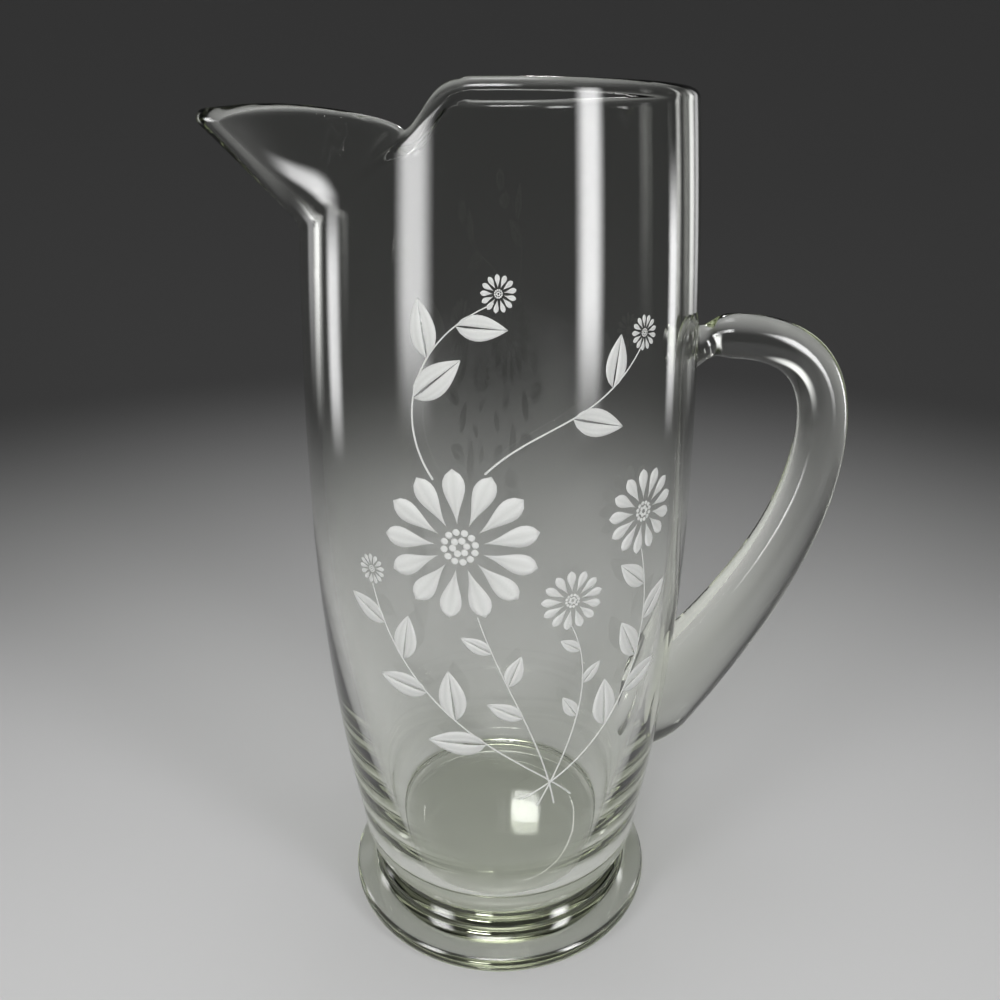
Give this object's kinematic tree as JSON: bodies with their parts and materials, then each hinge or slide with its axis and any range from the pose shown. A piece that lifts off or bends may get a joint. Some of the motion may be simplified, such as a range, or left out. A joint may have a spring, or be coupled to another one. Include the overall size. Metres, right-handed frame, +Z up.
{
  "type": "cocktail pitcher",
  "caption": "Tall clear glass pitcher with a barrel body, a pulled pouring spout, an applied loop handle and a flared foot.",
  "frame": {"origin": "centre of the foot's underside, on the table", "axes": "+Z up the vessel's axis, -X towards the spout, +X towards the handle"},
  "size_m": [0.1735, 0.1066, 0.2398],
  "materials": {
    "clear_glass": "fire-polished, faint yellow-green tint"
  },
  "bodies": {
    "root": {"vessel": "clear_glass", "foot": "clear_glass", "handle": "clear_glass"}
  },
  "joints": []
}
